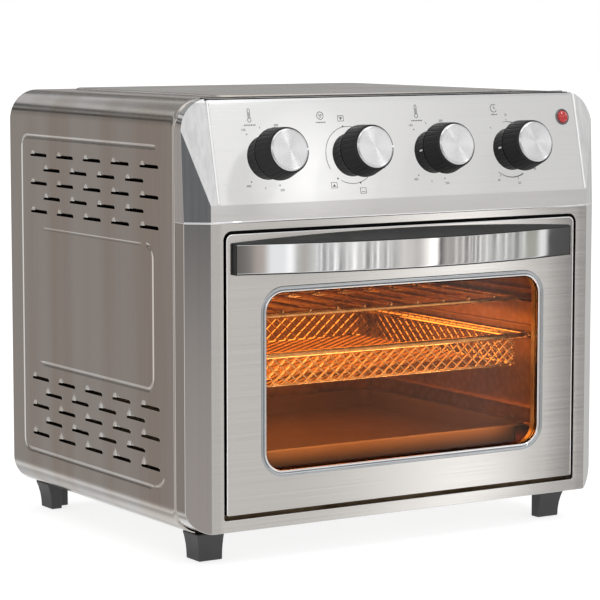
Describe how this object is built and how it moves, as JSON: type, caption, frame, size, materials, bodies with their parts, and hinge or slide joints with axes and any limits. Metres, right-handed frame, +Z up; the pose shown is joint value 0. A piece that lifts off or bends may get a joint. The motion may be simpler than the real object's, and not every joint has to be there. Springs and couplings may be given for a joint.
{
  "type": "toaster oven",
  "caption": "Countertop toaster oven with a drop-down glass door, bowed handle, leaning panel of control knobs, louvred steel shell, rack, mesh basket and pan.",
  "frame": {"origin": "on the floor under the middle of the oven's box, midway between handle and cord gland", "axes": "+X to the right seen from the front, -Y out of the door, +Z up"},
  "size_m": [0.385, 0.3398, 0.3524],
  "materials": {
    "shell_steel": "satin, slightly smoked stainless sheet",
    "stainless": "brushed stainless sheet",
    "sheet_steel": "aluminised sheet, dull",
    "charcoal_plastic": "moulded, satin",
    "bright_chrome": "mirror",
    "rack_wire": "bright plated wire",
    "pan_enamel": "baked enamel, semi-gloss",
    "heater_tube": "oxidised sheath",
    "spun_aluminium": "spun face, bright edge",
    "red_lens": "clear red",
    "oven_glass": "tempered, warm tint"
  },
  "bodies": {
    "oven": {"outer_shell": "shell_steel", "rear_panel": "sheet_steel", "base_plate": "sheet_steel", "front_frame": "stainless", "control_panel": "stainless", "foot_front_left": "charcoal_plastic", "foot_rear_left": "charcoal_plastic", "foot_front_right": "charcoal_plastic", "foot_rear_right": "charcoal_plastic", "cord_gland": "charcoal_plastic", "cavity_front": "sheet_steel", "cavity_left": "sheet_steel", "cavity_right": "sheet_steel", "cavity_back": "sheet_steel", "cavity_floor": "sheet_steel", "cavity_top": "sheet_steel", "rack_guide_left": "sheet_steel", "rack_guide_right": "sheet_steel", "heater_top_front": "heater_tube", "heater_bottom_front": "heater_tube", "heater_top_rear": "heater_tube", "heater_bottom_rear": "heater_tube", "fan_guard": "sheet_steel", "motor_bracket": "sheet_steel", "fan_motor": "sheet_steel", "hinge_bracket_left": "sheet_steel", "hinge_bracket_right": "sheet_steel", "control_air_temp": "sheet_steel", "control_function": "sheet_steel", "control_oven_temp": "sheet_steel", "control_timer": "sheet_steel", "lamp_bezel": "charcoal_plastic", "lamp_lens": "red_lens"},
    "door": {"door_panel": "stainless", "window_trim": "bright_chrome", "door_glass": "oven_glass", "door_inner_frame": "sheet_steel", "handle_body": "charcoal_plastic", "handle_strip": "bright_chrome", "hinge_pin_left": "sheet_steel", "hinge_pin_right": "sheet_steel"},
    "fan": {"fan_blade": "spun_aluminium", "fan_shaft": "sheet_steel"},
    "rack": {"wire_rack": "rack_wire"},
    "basket": {"air_fry_basket": "rack_wire"},
    "pan": {"baking_pan": "pan_enamel"},
    "crumbs": {"crumb_tray": "sheet_steel"},
    "dial_air_temp": {"knob_air_temp": "charcoal_plastic", "knob_cap_air_temp": "spun_aluminium", "knob_shaft_air_temp": "sheet_steel"},
    "dial_function": {"knob_function": "charcoal_plastic", "knob_cap_function": "spun_aluminium", "knob_shaft_function": "sheet_steel"},
    "dial_oven_temp": {"knob_oven_temp": "charcoal_plastic", "knob_cap_oven_temp": "spun_aluminium", "knob_shaft_oven_temp": "sheet_steel"},
    "dial_timer": {"knob_timer": "charcoal_plastic", "knob_cap_timer": "spun_aluminium", "knob_shaft_timer": "sheet_steel"}
  },
  "joints": [
    {"name": "door_hinge", "type": "hinge", "parent": "oven", "child": "door", "pos_m": [0, -0.13312, 0.043], "axis": [1, 0, 0], "range_deg": [0, 90]},
    {"name": "air_temp_turn", "type": "hinge", "parent": "oven", "child": "dial_air_temp", "pos_m": [-0.1242, -0.13152, 0.30635], "axis": [0, -0.9755, 0.2201], "range_deg": [-300, 0]},
    {"name": "function_turn", "type": "hinge", "parent": "oven", "child": "dial_function", "pos_m": [-0.0482, -0.13152, 0.30635], "axis": [0, -0.9755, 0.2201], "range_deg": [-300, 0]},
    {"name": "oven_temp_turn", "type": "hinge", "parent": "oven", "child": "dial_oven_temp", "pos_m": [0.0278, -0.13152, 0.30635], "axis": [0, -0.9755, 0.2201], "range_deg": [-300, 0]},
    {"name": "timer_turn", "type": "hinge", "parent": "oven", "child": "dial_timer", "pos_m": [0.1038, -0.13152, 0.30635], "axis": [0, -0.9755, 0.2201], "range_deg": [-300, 25]},
    {"name": "fan_spin", "type": "hinge", "parent": "oven", "child": "fan", "pos_m": [0, 0.00588, 0.23], "axis": [0, 0, 1], "continuous": true},
    {"name": "rack_slide", "type": "slide", "parent": "oven", "child": "rack", "axis": [0, -1, 0], "range_m": [0, 0.205]},
    {"name": "basket_slide", "type": "slide", "parent": "oven", "child": "basket", "axis": [0, -1, 0], "range_m": [0, 0.181]},
    {"name": "pan_slide", "type": "slide", "parent": "oven", "child": "pan", "axis": [0, -1, 0], "range_m": [0, 0.071]},
    {"name": "crumb_tray_slide", "type": "slide", "parent": "oven", "child": "crumbs", "axis": [0, -1, 0], "range_m": [0, 0.0158]}
  ],
  "couplings": [
    {"joint": "rack_slide", "follows": "door_hinge", "m_per_rad": 0.13},
    {"joint": "basket_slide", "follows": "door_hinge", "m_per_rad": 0.115},
    {"joint": "pan_slide", "follows": "door_hinge", "m_per_rad": 0.045},
    {"joint": "crumb_tray_slide", "follows": "door_hinge", "m_per_rad": 0.01}
  ]
}
